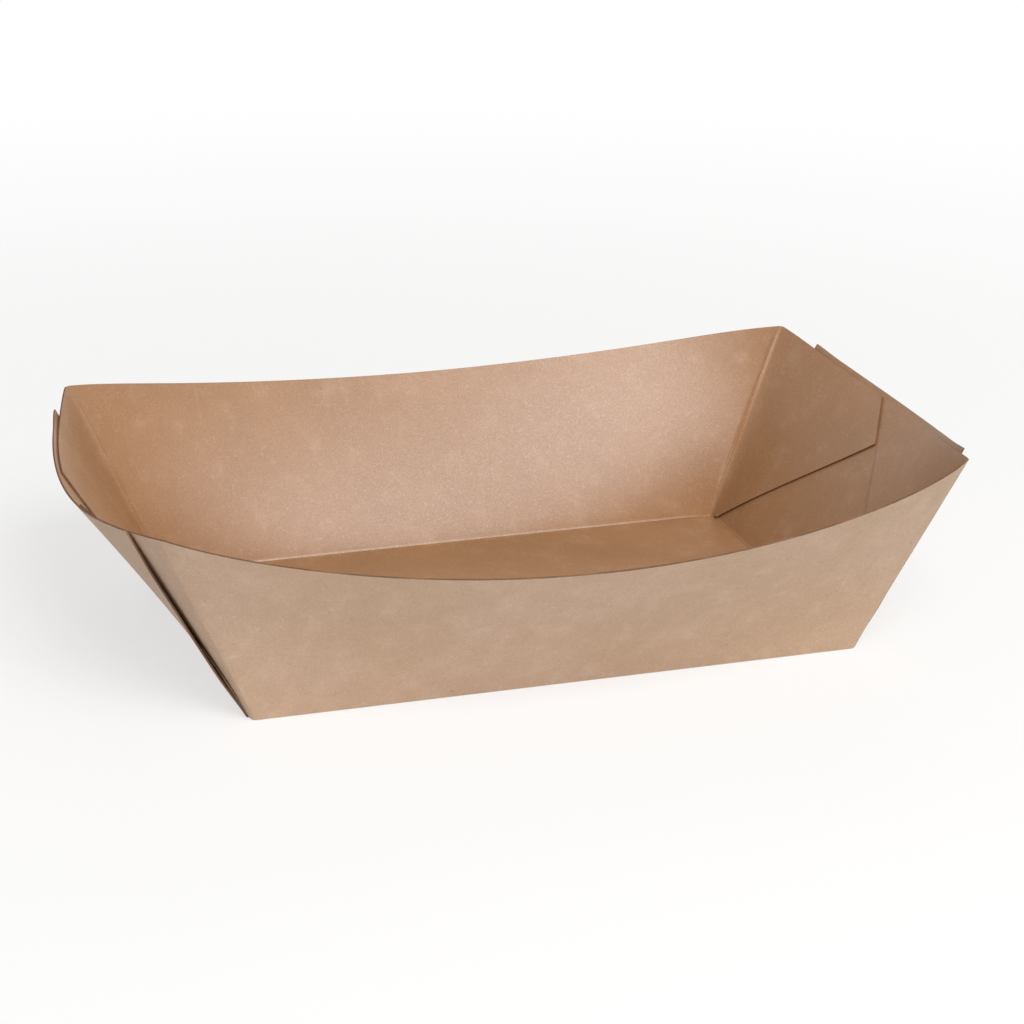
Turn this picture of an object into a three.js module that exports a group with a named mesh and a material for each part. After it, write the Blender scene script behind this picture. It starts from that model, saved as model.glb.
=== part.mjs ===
// Paper food tray, folded and glued from one die-cut sheet of brown board.
// The bottom is a flat rectangle, and two long walls and two end walls are folded up from it.
// Each long wall runs on round the corner as a glue flap, which is stuck to the inside of the end wall.
// The walls lean outward and bow, so each rim bulges in plan and dips between its corners.
// Millimetres, +Z up. The origin is the middle of the underside, and X runs along the tray.

import * as THREE from "three";
import { mergeGeometries, mergeVertices } from "three/addons/utils/BufferGeometryUtils.js";

// The sheet
const boardThickness = 0.45;

// The bottom panel
const baseLength = 153.5;
const baseWidth = 94;
const baseCornerSoftness = 2; // reach of the soft corner along each fold

// The long walls
const creaseSpan = 196.3; // along a long wall's rim, from corner crease to corner crease
const creaseWidth = 111; // across the tray, between the corner creases at the rim
const creaseHeight = 50; // top of the corner creases
const longBulge = 19.5; // outward bow of a long rim's middle
const longDip = 11; // how far that middle lies below the corner creases
const cornerTurnShare = 0.22; // part of the bow that is made close to the corners
const cornerTurnPower = 10; // how close to the corners that is

// The end walls
const endRimLength = 206; // along the tray, between the end walls at their top corners
const endRimWidth = 86; // along an end wall's rim, from corner to corner
const endStep = 1.8; // an end wall's top corners lie this far below the corner creases
const endBulge = 6.5;
const endDip = 4.5;

// The glue flaps
const flapTopStep = 0.8; // the flap's top lies this far below the end wall's rim
const flapReach = 31.5; // along the end wall, from the wall's corner to the top of the flap's cut end
const flapLowReach = 42; // the same to the foot of the cut end
const flapEndHeight = 9; // height of the cut end
const flapFoot = 1.5; // where the slanting lower edge starts, along the bottom fold

// How the bow grows from the straight bottom fold to the rim: 1 is even, more is later
const bowGrowth = 1.25;

// How finely the panels are divided
const slantRows = 7;
const cutRows = 3;
const longColumns = 14; // half a long wall
const columnCrowding = 1.4; // how much closer those columns stand near the corner
const bendColumns = 6;
const flapColumns = 8;
const endColumns = 4; // from a flap's cut end to the middle of the end wall

const rowCount = slantRows + cutRows;
const mix = THREE.MathUtils.lerp;
const bow = (along) => 1 - along * along;
const steps = (count) => Array.from({ length: count + 1 }, (_, i) => i / count);

// A wall is its outer face, as a point for along, from -1 to 1, and up, from the fold 0 to the rim 1
const longWall = {
  height: (along) => creaseHeight - longDip * bow(along),
  point(along, up) {
    const halfSpan = mix(baseLength / 2 - baseCornerSoftness, creaseSpan / 2, up);
    const turn = 1 - Math.abs(along) ** cornerTurnPower;
    const bulge = longBulge * mix(bow(along), turn, cornerTurnShare) * up ** bowGrowth;
    const out = mix(baseWidth, creaseWidth, up) / 2 + bulge;
    return new THREE.Vector3(along * halfSpan, -out, up * longWall.height(along));
  },
};

const endWall = {
  height: (along) => creaseHeight - endStep - endDip * bow(along),
  point(along, up) {
    const halfWidth = mix(baseWidth / 2 - baseCornerSoftness, endRimWidth / 2, up);
    const out = mix(baseLength, endRimLength, up) / 2 + endBulge * bow(along) * up ** bowGrowth;
    return new THREE.Vector3(-out, -along * halfWidth, up * endWall.height(along));
  },
};

// The point level with a wall's outer face and the given depth of board further in
function within(wall, along, up, depth) {
  const nearby = 0.001;
  const point = wall.point(along, up);
  const sideways = wall.point(along + nearby, up).sub(wall.point(along - nearby, up));
  const upwards = wall.point(along, up + nearby).sub(point);
  const normal = sideways.cross(upwards).normalize().setZ(0);
  const inward = normal.dot(point) > 0 ? -1 : 1;
  return point.addScaledVector(normal, (inward * depth) / normal.lengthSq());
}

// How far up the long wall a share of the sheet's height is, for a face that starts at foot
const longUp = (along, share, foot) => mix(foot / longWall.height(along), 1, share);

// The same on the end wall, where a share of 1 is the top of the glue flap
function endUp(along, share, foot) {
  const height = endWall.height(along);
  return mix(foot, height - flapTopStep, share) / height;
}

// Where two lines cross in plan; the height there is the mean of the two lines' heights
function planCrossing(a, aWay, b, bWay) {
  const turn = aWay.x * bWay.y - aWay.y * bWay.x;
  const aRun = ((b.x - a.x) * bWay.y - (b.y - a.y) * bWay.x) / turn;
  const bRun = ((b.x - a.x) * aWay.y - (b.y - a.y) * aWay.x) / turn;
  const onA = a.clone().addScaledVector(aWay, aRun);
  const onB = b.clone().addScaledVector(bWay, bRun);
  return onA.setZ((onA.z + onB.z) / 2);
}

// The soft bend of the flap from the end wall's edge to the corner crease, on one face of the sheet.
// The outer face has depth 0 and starts at the fold; the inner one starts on top of the bottom panel.
function bendPoint(across, share, depth) {
  const nearby = 0.001;
  const onFlap = (along) => within(endWall, along, endUp(along, share, depth), boardThickness + depth);
  const onLong = (along) => within(longWall, along, longUp(along, share, depth), depth);
  const edge = onFlap(1);
  const crease = onLong(-1);
  const edgeWay = edge.clone().sub(onFlap(1 - nearby));
  const creaseWay = crease.clone().sub(onLong(-1 + nearby));
  const middle = planCrossing(edge, edgeWay, crease, creaseWay);
  return new THREE.QuadraticBezierCurve3(edge, middle, crease).getPoint(across);
}

// The glue flap's free edge, row by row: up the slanting lower edge, then up the cut end
const footAlong = 1 - flapFoot / (baseWidth / 2 - baseCornerSoftness);
const lowAlong = 1 - flapLowReach / (endRimWidth / 2);
const cutAlong = 1 - flapReach / (endRimWidth / 2);
const flapTop = endWall.height(cutAlong) - flapTopStep;
const lowShare = 1 - flapEndHeight / (flapTop - boardThickness);

function freeEdge(row) {
  const slant = Math.min(row / slantRows, 1);
  const cut = Math.max((row - slantRows) / cutRows, 0);
  const along = mix(mix(footAlong, lowAlong, slant), cutAlong, cut);
  return { along, share: mix(slant * lowShare, 1, cut) };
}

const rows = Array.from({ length: rowCount + 1 }, (_, row) => row);

// Lines of points from the fold to the rim, from the middle of the left end wall to its corner
function endOuterLine(along) {
  const line = rows.map((row) => endWall.point(along, endUp(along, row / rowCount, 0)));
  return [...line, endWall.point(along, 1)];
}

// The cut edge of the end wall's own board, where the flap leaves it
function endEdgeLine() {
  const line = rows.map((row) => within(endWall, 1, endUp(1, row / rowCount, 0), boardThickness));
  return [...line, within(endWall, 1, 1, boardThickness)];
}

// The end wall's inner face between the flaps: across is 0 at the middle and 1 at the flap
function endInnerLine(across) {
  const line = rows.map((row) => {
    const edge = freeEdge(row);
    const along = edge.along * across;
    return within(endWall, along, endUp(along, edge.share, boardThickness), boardThickness);
  });
  return [...line, within(endWall, cutAlong * across, 1, boardThickness)];
}

// The flap's inner face: across is 0 at its free edge and 1 where the bend starts
function flapLine(across) {
  return rows.map((row) => {
    const edge = freeEdge(row);
    const along = mix(edge.along, 1, across);
    const share = mix(edge.share, row / rowCount, across);
    return within(endWall, along, endUp(along, share, boardThickness), 2 * boardThickness);
  });
}

// The end wall's inner face above the flap
function bandLine(across) {
  const along = mix(cutAlong, 1, across);
  return [endUp(along, 1, boardThickness), 1].map((up) => within(endWall, along, up, boardThickness));
}

const bendLine = (across, depth) => rows.map((row) => bendPoint(across, row / rowCount, depth));

function longLine(across, depth) {
  const along = across ** columnCrowding - 1;
  return rows.map((row) => within(longWall, along, longUp(along, row / rowCount, depth), depth));
}

function surface(points, index) {
  return new THREE.BufferGeometry().setFromPoints(points).setIndex(index);
}

// Quads between neighbouring lines of points, which face outward when the lines run round the tray
function skin(lines, facesInward = false) {
  const size = lines[0].length;
  const index = [];
  for (let line = 0; line < lines.length - 1; line += 1) {
    for (let k = 0; k < size - 1; k += 1) {
      const low = line * size + k;
      index.push(low, low + size, low + size + 1, low, low + size + 1, low + 1);
    }
  }
  return surface(lines.flat(), facesInward ? index.reverse() : index);
}

// Cut edges seen from above, from the outer face's points to the inner face's
const rim = (outer, inner) => skin(outer.map((point, i) => [point, inner[i]]));

// A flat panel: a fan of triangles from the tray's middle line to the points around it
function panel(edge, facesDown) {
  const centre = new THREE.Vector3(0, 0, edge[0].z);
  const index = edge.slice(1).flatMap((_, i) => [0, i + 1, i + 2]);
  return surface([centre, ...edge], facesDown ? index.reverse() : index);
}

// One quarter of the tray: half the left end wall, the front left corner and half the front wall
function quarter() {
  const flapAlong = steps(flapColumns).map((across) => mix(cutAlong, 1, across));
  const middleAlong = steps(endColumns).map((across) => cutAlong * across);
  const endOuter = [...middleAlong, ...flapAlong.slice(1)].map(endOuterLine);
  const endInner = steps(endColumns).map(endInnerLine);
  const flap = steps(flapColumns).map(flapLine);
  const band = steps(flapColumns).map(bandLine);
  const bend = [0, boardThickness].map((depth) => (
    steps(bendColumns).map((across) => bendLine(across, depth))
  ));
  const long = [0, boardThickness].map((depth) => (
    steps(longColumns).map((across) => longLine(across, depth))
  ));
  const sheetOuter = [...bend[0], ...long[0].slice(1)];
  const sheetInner = [...bend[1], ...long[1].slice(1)];
  const first = (line) => line[0];
  const last = (line) => line.at(-1);
  return mergeGeometries([
    skin([...endOuter, endEdgeLine()]),
    skin(sheetOuter),
    skin(endInner, true),
    skin(band, true),
    skin([endInner.at(-1).slice(0, -1), flap[0]], true),
    skin([...flap, ...sheetInner.slice(1)], true),
    rim(sheetOuter.map(last), sheetInner.map(last)),
    rim(band.map(first), flap.map(last)),
    rim(endOuter.map(last), [...endInner, ...band.slice(1)].map(last)),
    panel([...endOuter, ...sheetOuter].map(first), true),
    panel([...endInner, ...flap, ...sheetInner.slice(1)].map(first), false),
  ]);
}

// A copy mirrored across the tray's middle, with its faces turned back outward
function mirrored(geometry, x, y) {
  const copy = geometry.clone().applyMatrix4(new THREE.Matrix4().makeScale(x, y, 1));
  return copy.setIndex([...copy.index.array].reverse());
}

function trayGeometry() {
  const frontLeft = quarter();
  const front = mergeGeometries([frontLeft, mirrored(frontLeft, -1, 1)]);
  const whole = mergeVertices(mergeGeometries([front, mirrored(front, 1, -1)]));
  whole.computeVertexNormals();
  return whole;
}

const brownBoard = new THREE.MeshStandardMaterial({
  name: "brown_board",
  color: 0xb07f58,
  roughness: 0.75,
  metalness: 0,
});

const tray = new THREE.Mesh(trayGeometry(), brownBoard);
tray.name = "food_tray";

const model = new THREE.Group();
model.add(tray);

export default model;
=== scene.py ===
# %% [markdown]
# # A food tray folded from one sheet of brown board
# The real tray is a flat die-cut sheet. A folding machine turns up two long walls and two end
# walls, and glues a flap at each end of the long walls to the inside of the end walls.
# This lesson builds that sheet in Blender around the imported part, which fixes its size and place.

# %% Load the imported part
import math

import bmesh
import bpy
from mathutils import Matrix, Vector, noise


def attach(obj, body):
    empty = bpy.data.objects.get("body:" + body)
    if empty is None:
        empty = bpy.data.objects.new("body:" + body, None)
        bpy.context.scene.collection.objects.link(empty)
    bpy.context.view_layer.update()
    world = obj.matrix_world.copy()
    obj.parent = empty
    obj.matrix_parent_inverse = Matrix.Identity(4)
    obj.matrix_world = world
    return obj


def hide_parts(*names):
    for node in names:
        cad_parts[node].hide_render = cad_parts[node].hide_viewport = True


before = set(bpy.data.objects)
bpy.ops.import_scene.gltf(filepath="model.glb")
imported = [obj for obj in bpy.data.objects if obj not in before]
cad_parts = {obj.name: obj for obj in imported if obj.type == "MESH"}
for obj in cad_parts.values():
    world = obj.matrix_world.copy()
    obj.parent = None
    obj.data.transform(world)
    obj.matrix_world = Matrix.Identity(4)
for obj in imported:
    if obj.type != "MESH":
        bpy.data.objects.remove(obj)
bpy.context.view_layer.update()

# %% [markdown]
# ## The sizes of the folded sheet
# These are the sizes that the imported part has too, in metres here because Blender works in metres.
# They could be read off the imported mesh, but the folds and flaps are clearer as named sizes. Two
# are the scene's own: the glue line, and how far the flap's slanting edge clears the fold.

# %% Sizes
MM = 0.001
BOARD = 0.45 * MM  # the sheet's thickness
GLUE_LINE = 0.1 * MM  # between a flap and its end wall

BASE_LENGTH = 153.5 * MM
BASE_WIDTH = 94 * MM
CORNER_SOFTNESS = 2 * MM

CREASE_SPAN = 196.3 * MM
CREASE_WIDTH = 111 * MM
CREASE_HEIGHT = 50 * MM
LONG_BULGE = 19.5 * MM
LONG_DIP = 11 * MM
CORNER_TURN_SHARE = 0.22
CORNER_TURN_POWER = 10

END_RIM_LENGTH = 206 * MM
END_RIM_WIDTH = 86 * MM
END_HEIGHT = 48.2 * MM
END_BULGE = 6.5 * MM
END_DIP = 4.5 * MM
BOW_GROWTH = 1.25

FLAP_TOP_STEP = 0.8 * MM
FLAP_REACH = 31.5 * MM
FLAP_LOW_REACH = 42 * MM
FLAP_END_HEIGHT = 9 * MM
FLAP_FOOT = 1.5 * MM
FLAP_CLEARANCE = 1.1 * MM  # the slanting edge starts this far above the underside
CLEARANCE_FADE = 0.25  # share of the flap before the bend over which that goes back to nothing

# %% [markdown]
# ## The walls as surfaces
# A bowed board wall is a straight fold at the bottom and a curve at the rim, with straight lines
# between them. One small function for each kind of wall gives a point of its outer face, from
# along, -1 to 1 between its corners, and up, 0 at the fold to 1 at the rim.


# %% Wall surfaces
def mix(a, b, share):
    return a + (b - a) * share


def bow(along):
    return 1 - along * along


def ease(share):
    """0 below 0, 1 above 1, with a soft start and a soft end."""
    share = min(max(share, 0), 1)
    return share * share * (3 - 2 * share)


def long_height(along):
    return CREASE_HEIGHT - LONG_DIP * bow(along)


def end_height(along):
    return END_HEIGHT - END_DIP * bow(along)


def long_wall(along, up):
    """The front wall's outer face, from the left corner to the right one."""
    half_span = mix(BASE_LENGTH / 2 - CORNER_SOFTNESS, CREASE_SPAN / 2, up)
    turn = 1 - abs(along) ** CORNER_TURN_POWER
    bulge = LONG_BULGE * mix(bow(along), turn, CORNER_TURN_SHARE) * up**BOW_GROWTH
    out = mix(BASE_WIDTH, CREASE_WIDTH, up) / 2 + bulge
    return Vector((along * half_span, -out, up * long_height(along)))


def end_wall(along, up):
    """The left end wall's outer face, from the back corner to the front one."""
    half_width = mix(BASE_WIDTH / 2 - CORNER_SOFTNESS, END_RIM_WIDTH / 2, up)
    bulge = END_BULGE * bow(along) * up**BOW_GROWTH
    out = mix(BASE_LENGTH, END_RIM_LENGTH, up) / 2 + bulge
    return Vector((-out, -along * half_width, up * end_height(along)))


def within(wall, along, up, depth):
    """The point level with a wall's outer face and the given depth of board further in."""
    nearby = 0.001
    point = wall(along, up)
    sideways = wall(along + nearby, up) - wall(along - nearby, up)
    upwards = wall(along, up + nearby) - point
    normal = sideways.cross(upwards).normalized()
    normal.z = 0
    inward = -1 if normal.dot(point) > 0 else 1
    return point + normal * (inward * depth / normal.length_squared)


print("rim middles, mm:", [round(c / MM, 1) for c in (*long_wall(0, 1), *end_wall(0, 1))])

# %% [markdown]
# ## The end walls stand off their flaps
# Glue is laid in a few dabs away from the cut edge, so the last few millimetres of each end wall
# spring open. From the front that is the dark line down the corner. A texture could paint the
# line, but a true gap also shows from every other side.

# %% Where the end wall springs open
SPRING = 0.85 * MM  # how far the cut edge stands off, at most
SPRING_REACH = 0.22  # share of half the wall's width
SPRING_START = 0.24  # share of the height over which it opens
SPRING_CLOSING = 0.75  # share of the height where it starts to close towards the rim
SPRING_CLOSED = 0.5  # share of the gap that has closed at the rim


def end_panel(along, up):
    """The end wall as folded, with its cut side edges sprung open."""
    near_edge = ease((abs(along) - 1 + SPRING_REACH) / SPRING_REACH)
    closing = 1 - SPRING_CLOSED * ease((up - SPRING_CLOSING) / (1 - SPRING_CLOSING))
    return within(end_wall, along, up, -SPRING * near_edge * ease(up / SPRING_START) * closing)


# %% [markdown]
# ## The long strip: wall, bend and flap
# Each long wall goes on round the corner as a flap, in one piece. The strip is laid as one grid:
# column 0 is the flap's free edge, 1 is where the bend starts behind the end wall's cut edge, 2 is
# the corner crease and 3 is the middle of the wall. A share is a height, from the fold to the top.

# %% The strip's surface
FLAP_LEAVES = 0.1  # the flap leaves the end wall this share of its half width before the edge
FLAP_LEAVES_START = 0.18  # share of the height over which that grows from nothing
BEND_LENGTH = 13 * MM  # from there to the corner crease, at the rim
CREASE_ROUND = 1.3 * MM  # the crease is rounded over about this far on each side
ROUND_FADE = 3 * CREASE_ROUND  # beyond this distance from the crease nothing is rounded


def end_up(along, share, foot):
    """How far up the end wall a share of the flap's height is."""
    height = end_height(along)
    return mix(foot, height - FLAP_TOP_STEP, share) / height


def on_flap(along, share, foot=0.0):
    return within(end_wall, along, end_up(along, share, foot), BOARD + GLUE_LINE)


def bend_start(share):
    return 1 - FLAP_LEAVES * ease(share / FLAP_LEAVES_START)


def plan_crossing(a, a_way, b, b_way):
    """Where two lines cross in plan, at the mean of their heights there."""
    turn = a_way.x * b_way.y - a_way.y * b_way.x
    a_run = ((b.x - a.x) * b_way.y - (b.y - a.y) * b_way.x) / turn
    b_run = ((b.x - a.x) * a_way.y - (b.y - a.y) * a_way.x) / turn
    crossing = a + a_way * a_run
    crossing.z = (crossing.z + (b + b_way * b_run).z) / 2
    return crossing


def on_bend(across, share):
    """A soft curve from the flap to the corner crease, in line with both."""
    nearby = 0.001
    start = bend_start(share)
    edge = on_flap(start, share)
    crease = long_wall(-1, share)
    edge_way = edge - on_flap(start - nearby, share)
    crease_way = crease - long_wall(-1 + nearby, share)
    middle = plan_crossing(edge, edge_way, crease, crease_way)
    return edge.lerp(middle, across).lerp(middle.lerp(crease, across), across)


FOOT_ALONG = 1 - FLAP_FOOT / (BASE_WIDTH / 2 - CORNER_SOFTNESS)
LOW_ALONG = 1 - FLAP_LOW_REACH / (END_RIM_WIDTH / 2)
CUT_ALONG = 1 - FLAP_REACH / (END_RIM_WIDTH / 2)
LOW_SHARE = 1 - FLAP_END_HEIGHT / (end_height(CUT_ALONG) - FLAP_TOP_STEP)


def free_edge(share):
    """The flap's free edge: up the slant, then up the cut end."""
    if share < LOW_SHARE:
        return mix(FOOT_ALONG, LOW_ALONG, share / LOW_SHARE)
    return mix(LOW_ALONG, CUT_ALONG, (share - LOW_SHARE) / (1 - LOW_SHARE))


def near_crease(distance, share):
    """The bend, or the wall for a positive distance, this far from a sharp corner crease."""
    if distance < 0:
        return on_bend(1 + distance / BEND_LENGTH, share)
    return long_wall(distance / (CREASE_SPAN / 2) - 1, share)


def strip(column, share):
    if column <= 1:
        along = mix(free_edge(share), bend_start(share), column)
        foot = FLAP_CLEARANCE * min(1, (1 - column) / CLEARANCE_FADE)
        return on_flap(along, share, foot)
    distance = (column - 2) * (BEND_LENGTH if column < 2 else CREASE_SPAN / 2)
    reach = CREASE_ROUND * (1 - ease(abs(distance) / ROUND_FADE))
    return near_crease(distance - reach, share).lerp(near_crease(distance + reach, share), 0.5)


print("flap's low corner is at", round(LOW_SHARE, 3), "of its height")

# %% [markdown]
# ## One quarter of the sheet
# The tray is the same on both sides of its length and its width, so one quarter is laid and then
# mirrored twice. Each panel starts as a flat grid and every corner of the grid is carried to its
# place. Rows and columns crowd together at the folds, where the board turns in under a millimetre.
# Each corner also keeps how far it is from its fold and from the corner crease, for the beads that
# are pressed in later.

# %% Lay the panels
FOLD_STEPS = (0, 0.5, 0.9, 1.3, 1.9, 2.9, 4.4, 6.5, 9.5)  # mm away from a fold
LONG_STEP, BEND_STEP, END_STEP, ROW_STEP = 5, 1.5, 3, 3  # mm between lines away from the folds
FLAP_COLUMN_COUNT = 16
NEAR_RIM = 0.985  # one more row runs close below the rim, this share of the way up
FAR = 100 * MM  # for corners that no crease is near

sheet = bmesh.new()
from_fold = sheet.verts.layers.float.new("from_fold")
from_crease = sheet.verts.layers.float.new("from_crease")


def stops(length, last_step, middle=()):
    """Shares of a length, crowded at its start and even after that, in mm."""
    marks = [s for s in FOLD_STEPS if s < length / 2]
    count = math.ceil((length - marks[-1]) / last_step)
    marks += [mix(marks[-1], length, i / count) for i in range(1, count + 1)]
    return sorted({round(m / length, 6) for m in marks} | {round(m, 6) for m in middle})


def lay_panel(columns, rows, place, crease=None):
    """A grid of the sheet with each of its corners put where place(column, row) says."""
    across, high = len(columns) - 1, len(rows) - 1
    grid = bmesh.ops.create_grid(sheet, x_segments=across, y_segments=high, size=0.5)
    for corner in grid["verts"]:
        column = columns[round((corner.co.x + 0.5) * across)]
        row = rows[round((corner.co.y + 0.5) * high)]
        corner.co = place(column, row)
        corner[from_fold] = row * CREASE_HEIGHT
        corner[from_crease] = (corner.co - place(crease, row)).length if crease else FAR
    return len(grid["verts"])


LONG_COLUMNS = stops(CREASE_SPAN / 2 / MM, LONG_STEP)
BEND_COLUMNS = [1 - c for c in reversed(stops(BEND_LENGTH / MM, BEND_STEP))]
FLAP_COLUMNS = [i / FLAP_COLUMN_COUNT for i in range(FLAP_COLUMN_COUNT + 1)]
STRIP_COLUMNS = FLAP_COLUMNS + [1 + c for c in BEND_COLUMNS[1:]] + [2 + c for c in LONG_COLUMNS[1:]]
STRIP_ROWS = stops(CREASE_HEIGHT / MM, ROW_STEP, middle=(LOW_SHARE, NEAR_RIM))
END_COLUMNS = [1 - c for c in reversed(stops(END_RIM_WIDTH / 2 / MM, END_STEP))]

strip_count = lay_panel(STRIP_COLUMNS, STRIP_ROWS, strip, crease=2)
end_count = lay_panel(END_COLUMNS, STRIP_ROWS, end_panel)
print("one quarter:", strip_count, "strip and", end_count, "end wall corners")

# %% [markdown]
# ## Mirror the quarter and close the bottom
# The quarter is mirrored along and across. The bottom is then one flat face between the folds, with
# two narrow borders so that the folds can turn softly.

# %% The whole sheet
FOLD_BORDERS = (0.5 * MM, 0.6 * MM)  # widths of the two borders round the bottom
WELD = 1e-6  # corners this close are one
LEVEL = 1e-7  # corners this close to the ground lie on it

for axis in "XY":
    everything = sheet.verts[:] + sheet.edges[:] + sheet.faces[:]
    bmesh.ops.mirror(sheet, geom=everything, matrix=Matrix.Identity(4), merge_dist=WELD, axis=axis)
bmesh.ops.remove_doubles(sheet, verts=sheet.verts[:], dist=WELD)

fold_corners = [v for v in sheet.verts if abs(v.co.z) < LEVEL]
bottom = bmesh.ops.contextual_create(sheet, geom=fold_corners)["faces"]
border_reach = 0
for width in FOLD_BORDERS:
    bmesh.ops.inset_region(sheet, faces=bottom, thickness=0, use_boundary=True)
    border_reach += width
    for corner in bottom[0].verts:
        corner.co.x *= 1 - width / (BASE_LENGTH / 2)
        corner.co.y *= 1 - width / (BASE_WIDTH / 2)
        corner[from_fold] = border_reach
        corner[from_crease] = FAR

bmesh.ops.recalc_face_normals(sheet, faces=sheet.faces[:])
if bottom[0].normal.z > 0:
    bmesh.ops.reverse_faces(sheet, faces=sheet.faces[:])
print("the sheet:", len(sheet.faces), "faces; bottom faces down:", bottom[0].normal.z < 0)

# %% [markdown]
# ## Round the folds and give the sheet its thickness
# Each corner on a fold line moves half the way to the middle of its neighbours, which rounds the
# fold. Then one skin is copied inward by the board's thickness, which leaves true cut edges all
# round the rim and the flaps.

# %% Round the folds and thicken
FOLD_SOFTNESS = 0.5

fold_lines = [v for v in sheet.verts if abs(v.co.z) < LEVEL and v[from_fold] == 0]
bmesh.ops.smooth_vert(
    sheet,
    verts=fold_lines,
    factor=FOLD_SOFTNESS,
    use_axis_x=True,
    use_axis_y=True,
    use_axis_z=True,
)
outer_corners = set(sheet.verts)
bmesh.ops.solidify(sheet, geom=sheet.faces[:], thickness=BOARD)
inner_corners = [v for v in sheet.verts if v not in outer_corners]
sheet.normal_update()
lows = [round(min(v.co.z for v in group) / MM, 3) for group in (outer_corners, inner_corners)]
print("outer and inner skins start at", lows, "mm;", len(sheet.faces), "faces")

# %% [markdown]
# ## Fold beads
# The scoring rule that marks each fold leaves a bead about a millimetre wide on the inside of the
# tray. It catches the light as a pale line with a thin shadow beside it. It is pushed up from the
# inner skin here, because it is part of the shape and shows from every side. It fades out at the
# bottom's four corners, where the flap and the end wall meet and leave it no room.

# %% Press the beads
BEAD_HEIGHT = 0.34 * MM
BEAD_HALF_WIDTH = 0.5 * MM
BEAD_FADE = 3 * MM  # it is pressed flatter this close to the rim
BEAD_AT_RIM = 0.25  # share of its height that is left there
BASE_CORNER = Vector((BASE_LENGTH / 2, BASE_WIDTH / 2))
BEAD_CORNER_REACH = 7 * MM  # it has its full height this far from the bottom's corners


def bead(distance):
    return BEAD_HEIGHT * math.exp(-((distance / BEAD_HALF_WIDTH) ** 2))


for corner in inner_corners:
    below_rim = ease((CREASE_HEIGHT - corner[from_fold]) / BEAD_FADE)
    off_corner = (Vector((abs(corner.co.x), abs(corner.co.y))) - BASE_CORNER).length
    rise = max(bead(corner[from_fold]), bead(corner[from_crease]))
    rise *= mix(BEAD_AT_RIM, 1, below_rim) * ease(off_corner / BEAD_CORNER_REACH)
    corner.co += corner.normal * rise
print("highest bead, mm:", round(BEAD_HEIGHT / MM, 2))

# %% [markdown]
# ## Board is never quite flat
# Damp and handling leave the walls a few tenths of a millimetre off a true curve. The whole tray is
# bent by one smooth noise, so layers that touch move together, and nothing moves at the foot, where
# the tray has to stand flat.

# %% Bend the walls a little
WAVE_LENGTH = 55 * MM
WAVE_HEIGHT = 0.35 * MM
STILL_HEIGHT = 12 * MM  # the waves grow to their full height up to here
UPRIGHT_SHARE = 0.3  # how much of a wave goes up or down
WAVE_SEED = 7  # without a seed of its own the noise is a different one in each run
WAVE_PLACE = Vector((3.1, 7.7, 1.9))  # the part of the noise that is used

noise.seed_set(WAVE_SEED)
for corner in sheet.verts:
    wave = noise.noise_vector(corner.co / WAVE_LENGTH + WAVE_PLACE)
    wave.z *= UPRIGHT_SHARE
    corner.co += wave * WAVE_HEIGHT * ease(corner.co.z / STILL_HEIGHT)

# %% [markdown]
# ## The finished piece
# The skins are shaded smooth and the cut edges stay crisp: an edge sharper than forty degrees is a
# cut, and anything softer is a fold or a bow. The cut edges get their own finish, because there the
# knife has opened the board and the layers show.

# %% Make the piece
CUT_ANGLE = math.radians(40)
OUTSIDE, INSIDE, CUT_EDGE = 0, 1, 2  # the piece's finishes, in order

sheet.normal_update()
inner_set = set(inner_corners)
for face in sheet.faces:
    inner_count = sum(corner in inner_set for corner in face.verts)
    if inner_count == 0:
        face.material_index = OUTSIDE
    elif inner_count == len(face.verts):
        face.material_index = INSIDE
    else:
        face.material_index = CUT_EDGE
tray_mesh = bpy.data.meshes.new("folded_tray")
sheet.to_mesh(tray_mesh)
sheet.free()
tray_mesh.shade_smooth()
tray_mesh.set_sharp_from_angle(angle=CUT_ANGLE)
for face in tray_mesh.polygons:
    if len(face.vertices) > 4:  # the two faces of the flat bottom
        face.use_smooth = False
tray = bpy.data.objects.new("folded_tray", tray_mesh)
bpy.context.scene.collection.objects.link(tray)
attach(tray, "root")
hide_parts("food_tray")
print("tray:", len(tray_mesh.polygons), "faces")

# %% [markdown]
# ## Two small helpers for finishes
# Colours are written as the hex values that a screen shows and turned to linear light once, here.
# Every node of a finish is added by one function, with its settings and what feeds it.

# %% Colour and node helpers
def screen_colour(hex_value):
    """The linear colour of an sRGB hex value such as "bc9d87"."""
    parts = [int(hex_value[i : i + 2], 16) / 255 for i in (0, 2, 4)]
    linear = [c / 12.92 if c <= 0.04045 else ((c + 0.055) / 1.055) ** 2.4 for c in parts]
    return (*linear, 1.0)


def add_node(tree, kind, settings=None, links=None):
    """Adds a node, sets its properties and sockets, and links sockets that other nodes feed."""
    node = tree.nodes.new(kind)
    for name, value in (settings or {}).items():
        if isinstance(name, str) and hasattr(node, name):
            setattr(node, name, value)
        else:
            node.inputs[name].default_value = value
    for name, source in (links or {}).items():
        tree.links.new(source, node.inputs[name])
    return node


def new_finish(name):
    material = bpy.data.materials.new(name)
    material.use_nodes = True
    material.node_tree.nodes.clear()
    return material, material.node_tree
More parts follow.
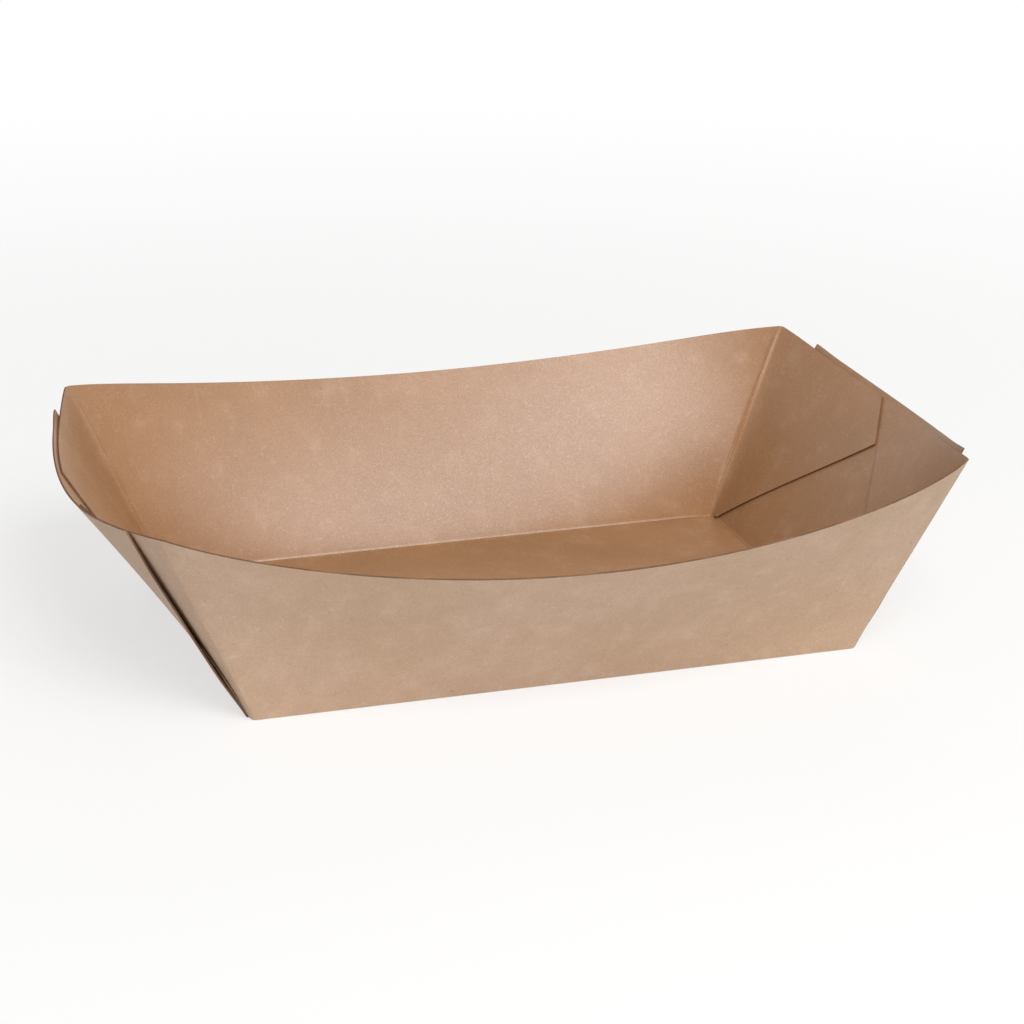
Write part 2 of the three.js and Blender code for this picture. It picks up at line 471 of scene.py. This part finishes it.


# %% [markdown]
# ## The board
# Unbleached paperboard is made of long wood fibres, pressed smooth but not coated. It has a faint
# cloudy look from uneven fibre, fine grain, some darker and paler fibres, and rare flecks of bark.
# Its surface is matt with a soft sheen. Fibres are about 0.03 mm thick, which is too fine to show,
# so they are drawn three or four times as thick. Both sides are the same board, and the inside is
# pressed smoother. The inside is coloured darker and warmer than the outside, and its darkness is
# painted shade, for the shade that falls inside the tray.

# %% Board pattern helpers
CLOUD_SIZE = 7 * MM
PATCH_SIZE = 38 * MM
GRAIN_SIZE = 0.42 * MM
FIBRE_SPACING = 2.4 * MM
DARK_ZONE_SIZE, PALE_ZONE_SIZE = 3 * MM, 4 * MM  # fibres show only in these zones
FLECK_SPACING = 5.5 * MM
FIBRE_BROWN = "5e402a"
FACTOR, COLOUR_A, COLOUR_B, COLOUR_RESULT = 0, 6, 7, 2  # a Mix node's sockets for colours


def cloud(tree, where, size, detail, roughness=0.5, distortion=0.0):
    """Noise whose features are about size across, from 0 to 1."""
    settings = {"Scale": 1 / size, "Detail": detail}
    settings |= {"Roughness": roughness, "Distortion": distortion}
    return add_node(tree, "ShaderNodeTexNoise", settings, {"Vector": where}).outputs["Fac"]


def between(tree, value, low, high, to_low=0.0, to_high=1.0, kind="SMOOTHSTEP"):
    """Value's range from low to high carried to another range, and held beyond it."""
    settings = {"From Min": low, "From Max": high, "To Min": to_low, "To Max": to_high}
    settings["interpolation_type"] = kind
    return add_node(tree, "ShaderNodeMapRange", settings, {"Value": value}).outputs["Result"]


def calculated(tree, operation, a, b=None):
    """One Math node. The second value may be a number or a socket."""
    settings, links = {"operation": operation}, {0: a}
    if isinstance(b, float):
        settings[1] = b
    elif b is not None:
        links[1] = b
    return add_node(tree, "ShaderNodeMath", settings, links).outputs[0]


def tinted(tree, base, hex_value, share):
    """Base, a socket or a hex value, with a share of another colour over it."""
    node = add_node(tree, "ShaderNodeMix", {"data_type": "RGBA"}, {FACTOR: share})
    if isinstance(base, str):
        node.inputs[COLOUR_A].default_value = screen_colour(base)
    else:
        tree.links.new(base, node.inputs[COLOUR_A])
    node.inputs[COLOUR_B].default_value = screen_colour(hex_value)
    return node.outputs[COLOUR_RESULT]


def fibre_lines(tree, where, spacing, width, distortion, shift):
    """1 on thin curved lines, where a cloud crosses its middle value, and 0 elsewhere."""
    settings = {"Location": (shift, 2 * shift, -shift)}
    moved = add_node(tree, "ShaderNodeMapping", settings, {"Vector": where}).outputs["Vector"]
    value = cloud(tree, moved, spacing, 1.0, distortion=distortion)
    off_middle = calculated(tree, "ABSOLUTE", calculated(tree, "SUBTRACT", value, 0.5))
    return between(tree, off_middle, 0.0, width, 1.0, 0.0)


# %% [markdown]
# ## Both sides of the board
# One function makes both finishes, from the slow patches down to the fibres and flecks. The same
# grain also roughens the surface, in its relief and in its sheen.


# %% Board finish
def board_finish(name, base, patch, roughness, ior):
    """One side of the board: its colour, that colour's slow drift, and how matt it is."""
    material, tree = new_finish(name)
    where = add_node(tree, "ShaderNodeTexCoord").outputs["Object"]

    patches = between(tree, cloud(tree, where, PATCH_SIZE, 2.0), 0.35, 0.65)
    clouds = cloud(tree, where, CLOUD_SIZE, 4.0, roughness=0.6)
    grain = cloud(tree, where, GRAIN_SIZE, 3.0, roughness=0.65)
    dark_zones = between(tree, cloud(tree, where, DARK_ZONE_SIZE, 1.0), 0.5, 0.62)
    pale_zones = between(tree, cloud(tree, where, PALE_ZONE_SIZE, 1.0), 0.6, 0.45)
    dark_lines = fibre_lines(tree, where, FIBRE_SPACING, 0.035, 0.6, 0.31)
    pale_lines = fibre_lines(tree, where, FIBRE_SPACING * 0.8, 0.03, 0.5, 0.77)
    dark_fibres = calculated(tree, "MULTIPLY", dark_lines, dark_zones)
    pale_fibres = calculated(tree, "MULTIPLY", pale_lines, pale_zones)
    cells = add_node(tree, "ShaderNodeTexVoronoi", {"Scale": 1 / FLECK_SPACING}, {"Vector": where})
    flecks = between(tree, cells.outputs["Distance"], 0.03, 0.06, 1.0, 0.0)

    colour = tinted(tree, base, patch, patches)
    colour = tinted(tree, colour, "6e4c30", between(tree, clouds, 0.62, 0.3, 0.0, 0.06))
    colour = tinted(tree, colour, "f2e0d0", between(tree, clouds, 0.5, 0.8, 0.0, 0.08))
    colour = tinted(tree, colour, FIBRE_BROWN, between(tree, grain, 0.52, 0.3, 0.0, 0.10))
    colour = tinted(tree, colour, "f4e4d6", between(tree, grain, 0.52, 0.74, 0.0, 0.10))
    colour = tinted(tree, colour, FIBRE_BROWN, calculated(tree, "MULTIPLY", dark_fibres, 0.09))
    colour = tinted(tree, colour, "f6e8da", calculated(tree, "MULTIPLY", pale_fibres, 0.06))
    colour = tinted(tree, colour, "4a3220", calculated(tree, "MULTIPLY", flecks, 0.35))

    relief = calculated(tree, "ADD", grain, calculated(tree, "MULTIPLY", pale_fibres, 0.5))
    relief = calculated(tree, "ADD", relief, calculated(tree, "MULTIPLY", clouds, 1.5))
    settings = {"Strength": 0.3, "Distance": 0.06 * MM}
    bumps = add_node(tree, "ShaderNodeBump", settings, {"Height": relief}).outputs["Normal"]
    gloss = between(tree, grain, 0.3, 0.7, roughness + 0.08, roughness - 0.04, kind="LINEAR")
    paper = add_node(
        tree,
        "ShaderNodeBsdfPrincipled",
        {"IOR": ior, "Metallic": 0.0},
        {"Base Color": colour, "Roughness": gloss, "Normal": bumps},
    )
    add_node(tree, "ShaderNodeOutputMaterial", {}, {"Surface": paper.outputs["BSDF"]})
    print(name + ":", len(tree.nodes), "nodes")
    return material


tray_mesh.materials.append(board_finish("brown_board_outside", "b69982", "b1957b", 0.62, 1.5))
# painted shade: the inside's darker colours stand in for the shade inside the tray
tray_mesh.materials.append(board_finish("brown_board_inside_shaded", "a3774f", "9d724a", 0.36, 1.62))

# %% [markdown]
# ## The cut edge
# The knife leaves the board open: loose fibre ends, quite matt, with the layers of the sheet running
# along it. The layers are about a tenth of a millimetre, so they show only close up. The edge is
# coloured darker than the face, and that darkness is painted shade, for the shadow along the cut
# edges.

# %% Cut edge finish
EDGE_GRAIN = 0.25 * MM
STRETCH_SIZE = 9 * MM

cut_edge, tree = new_finish("brown_board_cut_edge_shaded")
where = add_node(tree, "ShaderNodeTexCoord").outputs["Object"]
fibre_ends = cloud(tree, where, EDGE_GRAIN, 3.0, roughness=0.7)
stretches = cloud(tree, where, STRETCH_SIZE, 2.0)
# painted shade: the cut edge's dark browns stand in for the shadow along the cut edges
shaded_edge_colour = tinted(tree, "785840", "5b402d", between(tree, fibre_ends, 0.35, 0.65))
shaded_edge_colour = tinted(tree, shaded_edge_colour, "926e50", between(tree, stretches, 0.4, 0.7, 0.0, 0.5))
edge_bumps = add_node(
    tree, "ShaderNodeBump", {"Strength": 0.6, "Distance": 0.08 * MM}, {"Height": fibre_ends}
).outputs["Normal"]
edge_paper = add_node(
    tree,
    "ShaderNodeBsdfPrincipled",
    {"IOR": 1.5, "Metallic": 0.0, "Roughness": 0.9},
    {"Base Color": shaded_edge_colour, "Normal": edge_bumps},
)
add_node(tree, "ShaderNodeOutputMaterial", {}, {"Surface": edge_paper.outputs["BSDF"]})
tray_mesh.materials.append(cut_edge)
print("cut edge finish:", len(tree.nodes), "nodes")

# %% [markdown]
# ## Floor and background
# The tray stands on a plain white sweep. The floor is a real surface, so it takes the tray's soft
# shadow and throws light back up at the leaning walls. What the camera and reflections see of it
# is mixed with plain white, partly near the tray, where the shadow stays, and wholly far away.

# %% Floor
FLOOR_HALF = 4.0  # half its side, in metres
FLOOR_DROP = 0.05 * MM  # below the tray's underside
NEAR_WHITE = 0.64  # share of plain white near the tray
SHADOW_REACH = 0.16  # metres from the tray's middle to where that share starts to grow
WHITE_REACH = 0.6  # metres to where all is plain white

floor_finish, tree = new_finish("white_sweep")
rays = add_node(tree, "ShaderNodeLightPath").outputs
seen = calculated(tree, "MAXIMUM", rays["Is Camera Ray"], rays["Is Glossy Ray"])
seen = calculated(tree, "MAXIMUM", seen, rays["Is Transmission Ray"])
where = add_node(tree, "ShaderNodeTexCoord").outputs["Object"]
away = add_node(tree, "ShaderNodeVectorMath", {"operation": "LENGTH"}, {0: where}).outputs["Value"]
whiteness = between(tree, away, SHADOW_REACH, WHITE_REACH, NEAR_WHITE, 1.0)
whiteness = calculated(tree, "MULTIPLY", seen, whiteness)
matt = add_node(tree, "ShaderNodeBsdfDiffuse", {"Color": screen_colour("f7f6f4")}).outputs["BSDF"]
glow = add_node(tree, "ShaderNodeEmission", {"Color": screen_colour("ffffff"), "Strength": 1.0})
both = add_node(
    tree, "ShaderNodeMixShader", {}, {0: whiteness, 1: matt, 2: glow.outputs["Emission"]}
).outputs["Shader"]
add_node(tree, "ShaderNodeOutputMaterial", {}, {"Surface": both})

floor_form = bmesh.new()
bmesh.ops.create_grid(floor_form, x_segments=1, y_segments=1, size=FLOOR_HALF)
bmesh.ops.translate(floor_form, verts=floor_form.verts[:], vec=(0, 0, -FLOOR_DROP))
floor_mesh = bpy.data.meshes.new("floor")
floor_form.to_mesh(floor_mesh)
floor_form.free()
floor_mesh.materials.append(floor_finish)
floor = bpy.data.objects.new("floor", floor_mesh)
bpy.context.scene.collection.objects.link(floor)

# %% [markdown]
# ## Light
# An even studio: a bright room all round, one large soft lamp in front and above, which gives the
# far wall its sheen, a low fill from the camera's side for the leaning outer walls, and a weaker
# one behind, so that the tray also looks right from there.

# %% World and lamps
ROOM_STRENGTH = 0.36  # for the light it gives; it is seen as plain white

world = bpy.data.worlds.new("studio")
world.use_nodes = True
tree = world.node_tree
tree.nodes.clear()
rays = add_node(tree, "ShaderNodeLightPath").outputs
seen = calculated(tree, "MAXIMUM", rays["Is Camera Ray"], rays["Is Glossy Ray"])
seen = calculated(tree, "MAXIMUM", seen, rays["Is Transmission Ray"])
strength = between(tree, seen, 0.0, 1.0, ROOM_STRENGTH, 1.0, kind="LINEAR")
room = add_node(
    tree, "ShaderNodeBackground", {"Color": screen_colour("ffffff")}, {"Strength": strength}
)
add_node(tree, "ShaderNodeOutputWorld", {}, {"Surface": room.outputs["Background"]})
bpy.context.scene.world = world

LIT_POINT = Vector((0, 0, 20 * MM))  # every lamp faces this point in the tray


def soft_lamp(name, azimuth, elevation, away, size, power):
    """A square white lamp that faces the tray. Azimuth 0 is in front, and 90 is on the right."""
    lamp = bpy.data.lights.new(name, "AREA")
    lamp.shape = "SQUARE"
    lamp.size = size
    lamp.energy = power
    a, e = math.radians(azimuth), math.radians(elevation)
    way = Vector((math.sin(a) * math.cos(e), -math.cos(a) * math.cos(e), math.sin(e)))
    holder = bpy.data.objects.new(name, lamp)
    holder.location = LIT_POINT + way * away
    holder.rotation_euler = way.to_track_quat("Z", "Y").to_euler()
    bpy.context.scene.collection.objects.link(holder)


soft_lamp("front_lamp", azimuth=9, elevation=46, away=1.3, size=0.8, power=13.5)
soft_lamp("low_fill", azimuth=-12, elevation=10, away=1.4, size=0.9, power=4.4)
soft_lamp("back_fill", azimuth=158, elevation=20, away=1.4, size=1.1, power=3.6)

# %% [markdown]
# ## The camera
# A long lens from a little to the left and above. Its place, its turn and its lens were found by
# fitting a tray of these sizes to the picture's outlines.

# %% Camera
FOCAL_PIXELS = 2991.2
IMAGE_SIDE = 1024
SENSOR = 36.0
CLIP_START, CLIP_END = 0.01, 50
YAW, PITCH, ROLL = math.radians(19.11), math.radians(20.76), math.radians(1.226)
STANDPOINT = Vector((-225.14, -656.59, 289.53)) * MM

forward = Vector((
    math.sin(YAW) * math.cos(PITCH),
    math.cos(YAW) * math.cos(PITCH),
    -math.sin(PITCH),
))
level = Vector((math.cos(YAW), -math.sin(YAW), 0))
upright = level.cross(forward)
right = level * math.cos(ROLL) + upright * math.sin(ROLL)
top = upright * math.cos(ROLL) - level * math.sin(ROLL)

lens = bpy.data.cameras.new("camera")
lens.sensor_width = SENSOR
lens.lens = FOCAL_PIXELS / IMAGE_SIDE * SENSOR
lens.clip_start, lens.clip_end = CLIP_START, CLIP_END
camera = bpy.data.objects.new("camera", lens)
turned = Matrix((right, top, -forward)).transposed().to_4x4()
camera.matrix_world = Matrix.Translation(STANDPOINT) @ turned
bpy.context.scene.collection.objects.link(camera)
bpy.context.scene.camera = camera
bpy.context.scene.view_settings.view_transform = "Standard"
print("lens, mm:", round(lens.lens, 1))

# %% [markdown]
# ## Bring the scene up to date
# The view layer is updated once more at the end.

# %% Update the scene
bpy.context.view_layer.update()
